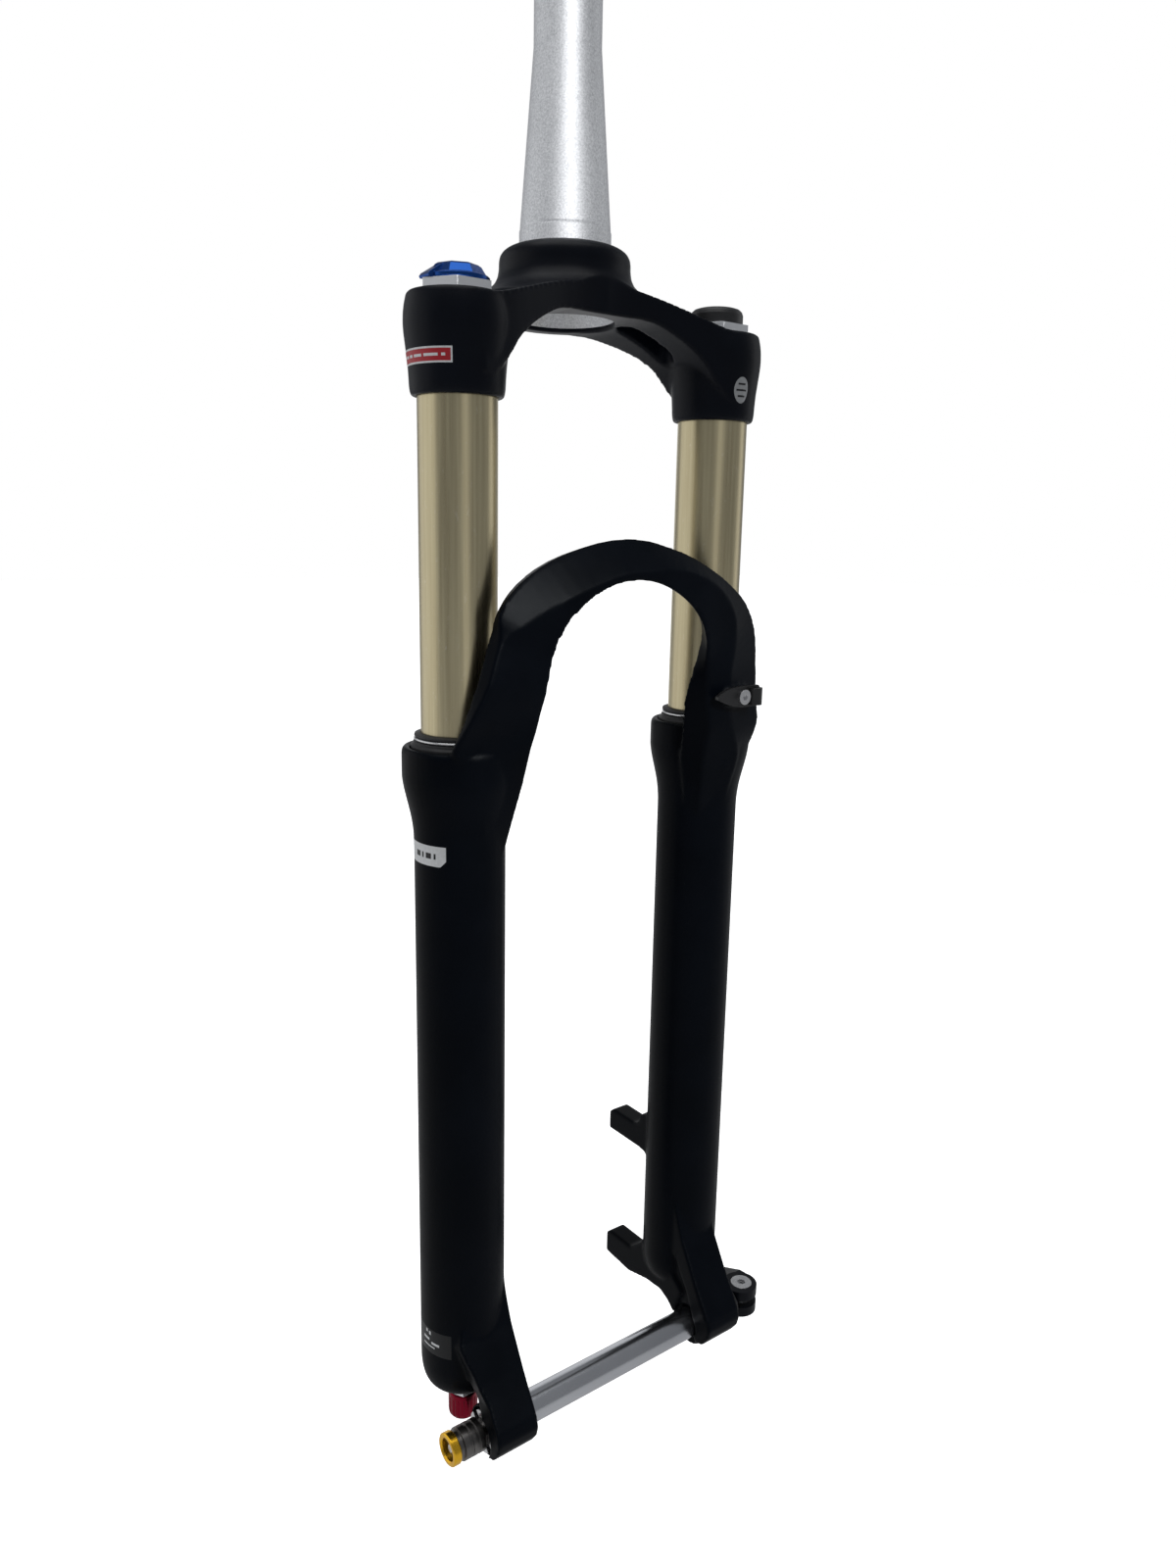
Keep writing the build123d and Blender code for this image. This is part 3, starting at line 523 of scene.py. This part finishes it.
def fill_sky():
    """White where the camera looks, and a faint cool fill for everything else."""
    world = bpy.data.worlds.new("studio")
    bpy.context.scene.world = world
    world.use_nodes = True
    tree = world.node_tree
    seen = tree.nodes["Background"]
    seen.inputs["Color"].default_value = (1, 1, 1, 1)
    seen.inputs["Strength"].default_value = 1.0
    unseen = tree.nodes.new("ShaderNodeBackground")
    unseen.inputs["Color"].default_value = (0.93, 0.96, 1, 1)
    unseen.inputs["Strength"].default_value = 0.26
    mix = tree.nodes.new("ShaderNodeMixShader")
    path = tree.nodes.new("ShaderNodeLightPath")
    tree.links.new(path.outputs["Is Camera Ray"], mix.inputs["Fac"])
    tree.links.new(unseen.outputs["Background"], mix.inputs[1])
    tree.links.new(seen.outputs["Background"], mix.inputs[2])
    tree.links.new(mix.outputs["Shader"], tree.nodes["World Output"].inputs["Surface"])


def light_studio():
    """Soft lamps all round, and three small ones that each light only some pieces."""
    soft_light("overhead", (-0.3, -0.2, 1.7), (0, 0, -0.2), (2.0, 1.6), 18)
    soft_light("left_window", (-1.63, 1.47, 0.0), (0, 0, -0.3), (3.3, 2.2), 13)
    soft_light("right_glow", (2.0, -0.4, 0.1), (0, 0, -0.3), (0.7, 2.0), 2.5)
    soft_light("back_fill", (1.15, 1.64, -0.2), (0, 0, -0.2), (1.6, 1.8), 5)
    bare_metal = ("steerer", "axle_tube", "damper_top_cap", "air_top_cap", "foot_nut")
    camera_lamp = soft_light("camera_lamp", (-0.65, -1.5, 0.5), (0, 0, 0), (0.8, 0.8), 15)
    shine_on(camera_lamp, [nodes[name] for name in bare_metal])
    tube_strip = soft_light("tube_strip", (-0.3, -1.5, -0.1), (0, 0, -0.1), (0.45, 1.2), 0.7)
    shine_on(tube_strip, [nodes["stanchion_left"], nodes["stanchion_right"]])
    over_arch = (0.05, -1.1, 0.42)
    arch_lamp = soft_light("arch_lamp", over_arch, (-0.05, -0.05, -0.14), (0.3, 0.3), 12, (0.93, 0.97, 1))
    shine_on(arch_lamp, [legs])


def aim_camera():
    """The camera stands at the fork's front right, level with the top of the arch, and looks down."""
    place = Vector((-309.12, -428.16, -119.20)) * MM
    yaw, pitch, roll = (math.radians(angle) for angle in (37.40, 12.52, 1.13))
    flat = math.cos(pitch)
    forward = Vector((math.sin(yaw) * flat, math.cos(yaw) * flat, -math.sin(pitch)))
    level = Vector((math.cos(yaw), -math.sin(yaw), 0))
    upright = level.cross(forward)
    right = math.cos(roll) * level + math.sin(roll) * upright
    up = math.cos(roll) * upright - math.sin(roll) * level
    data = bpy.data.cameras.new("camera")
    data.sensor_fit = "AUTO"
    data.sensor_width = 36
    data.lens = 25.965
    data.clip_start = 0.01
    camera = add_object("camera", data)
    matrix = Matrix((right, up, -forward)).transposed().to_4x4()
    matrix.translation = place
    camera.matrix_world = matrix
    bpy.context.scene.camera = camera


lay_floor()
fill_sky()
light_studio()
aim_camera()
bpy.context.scene.view_settings.view_transform = "Standard"
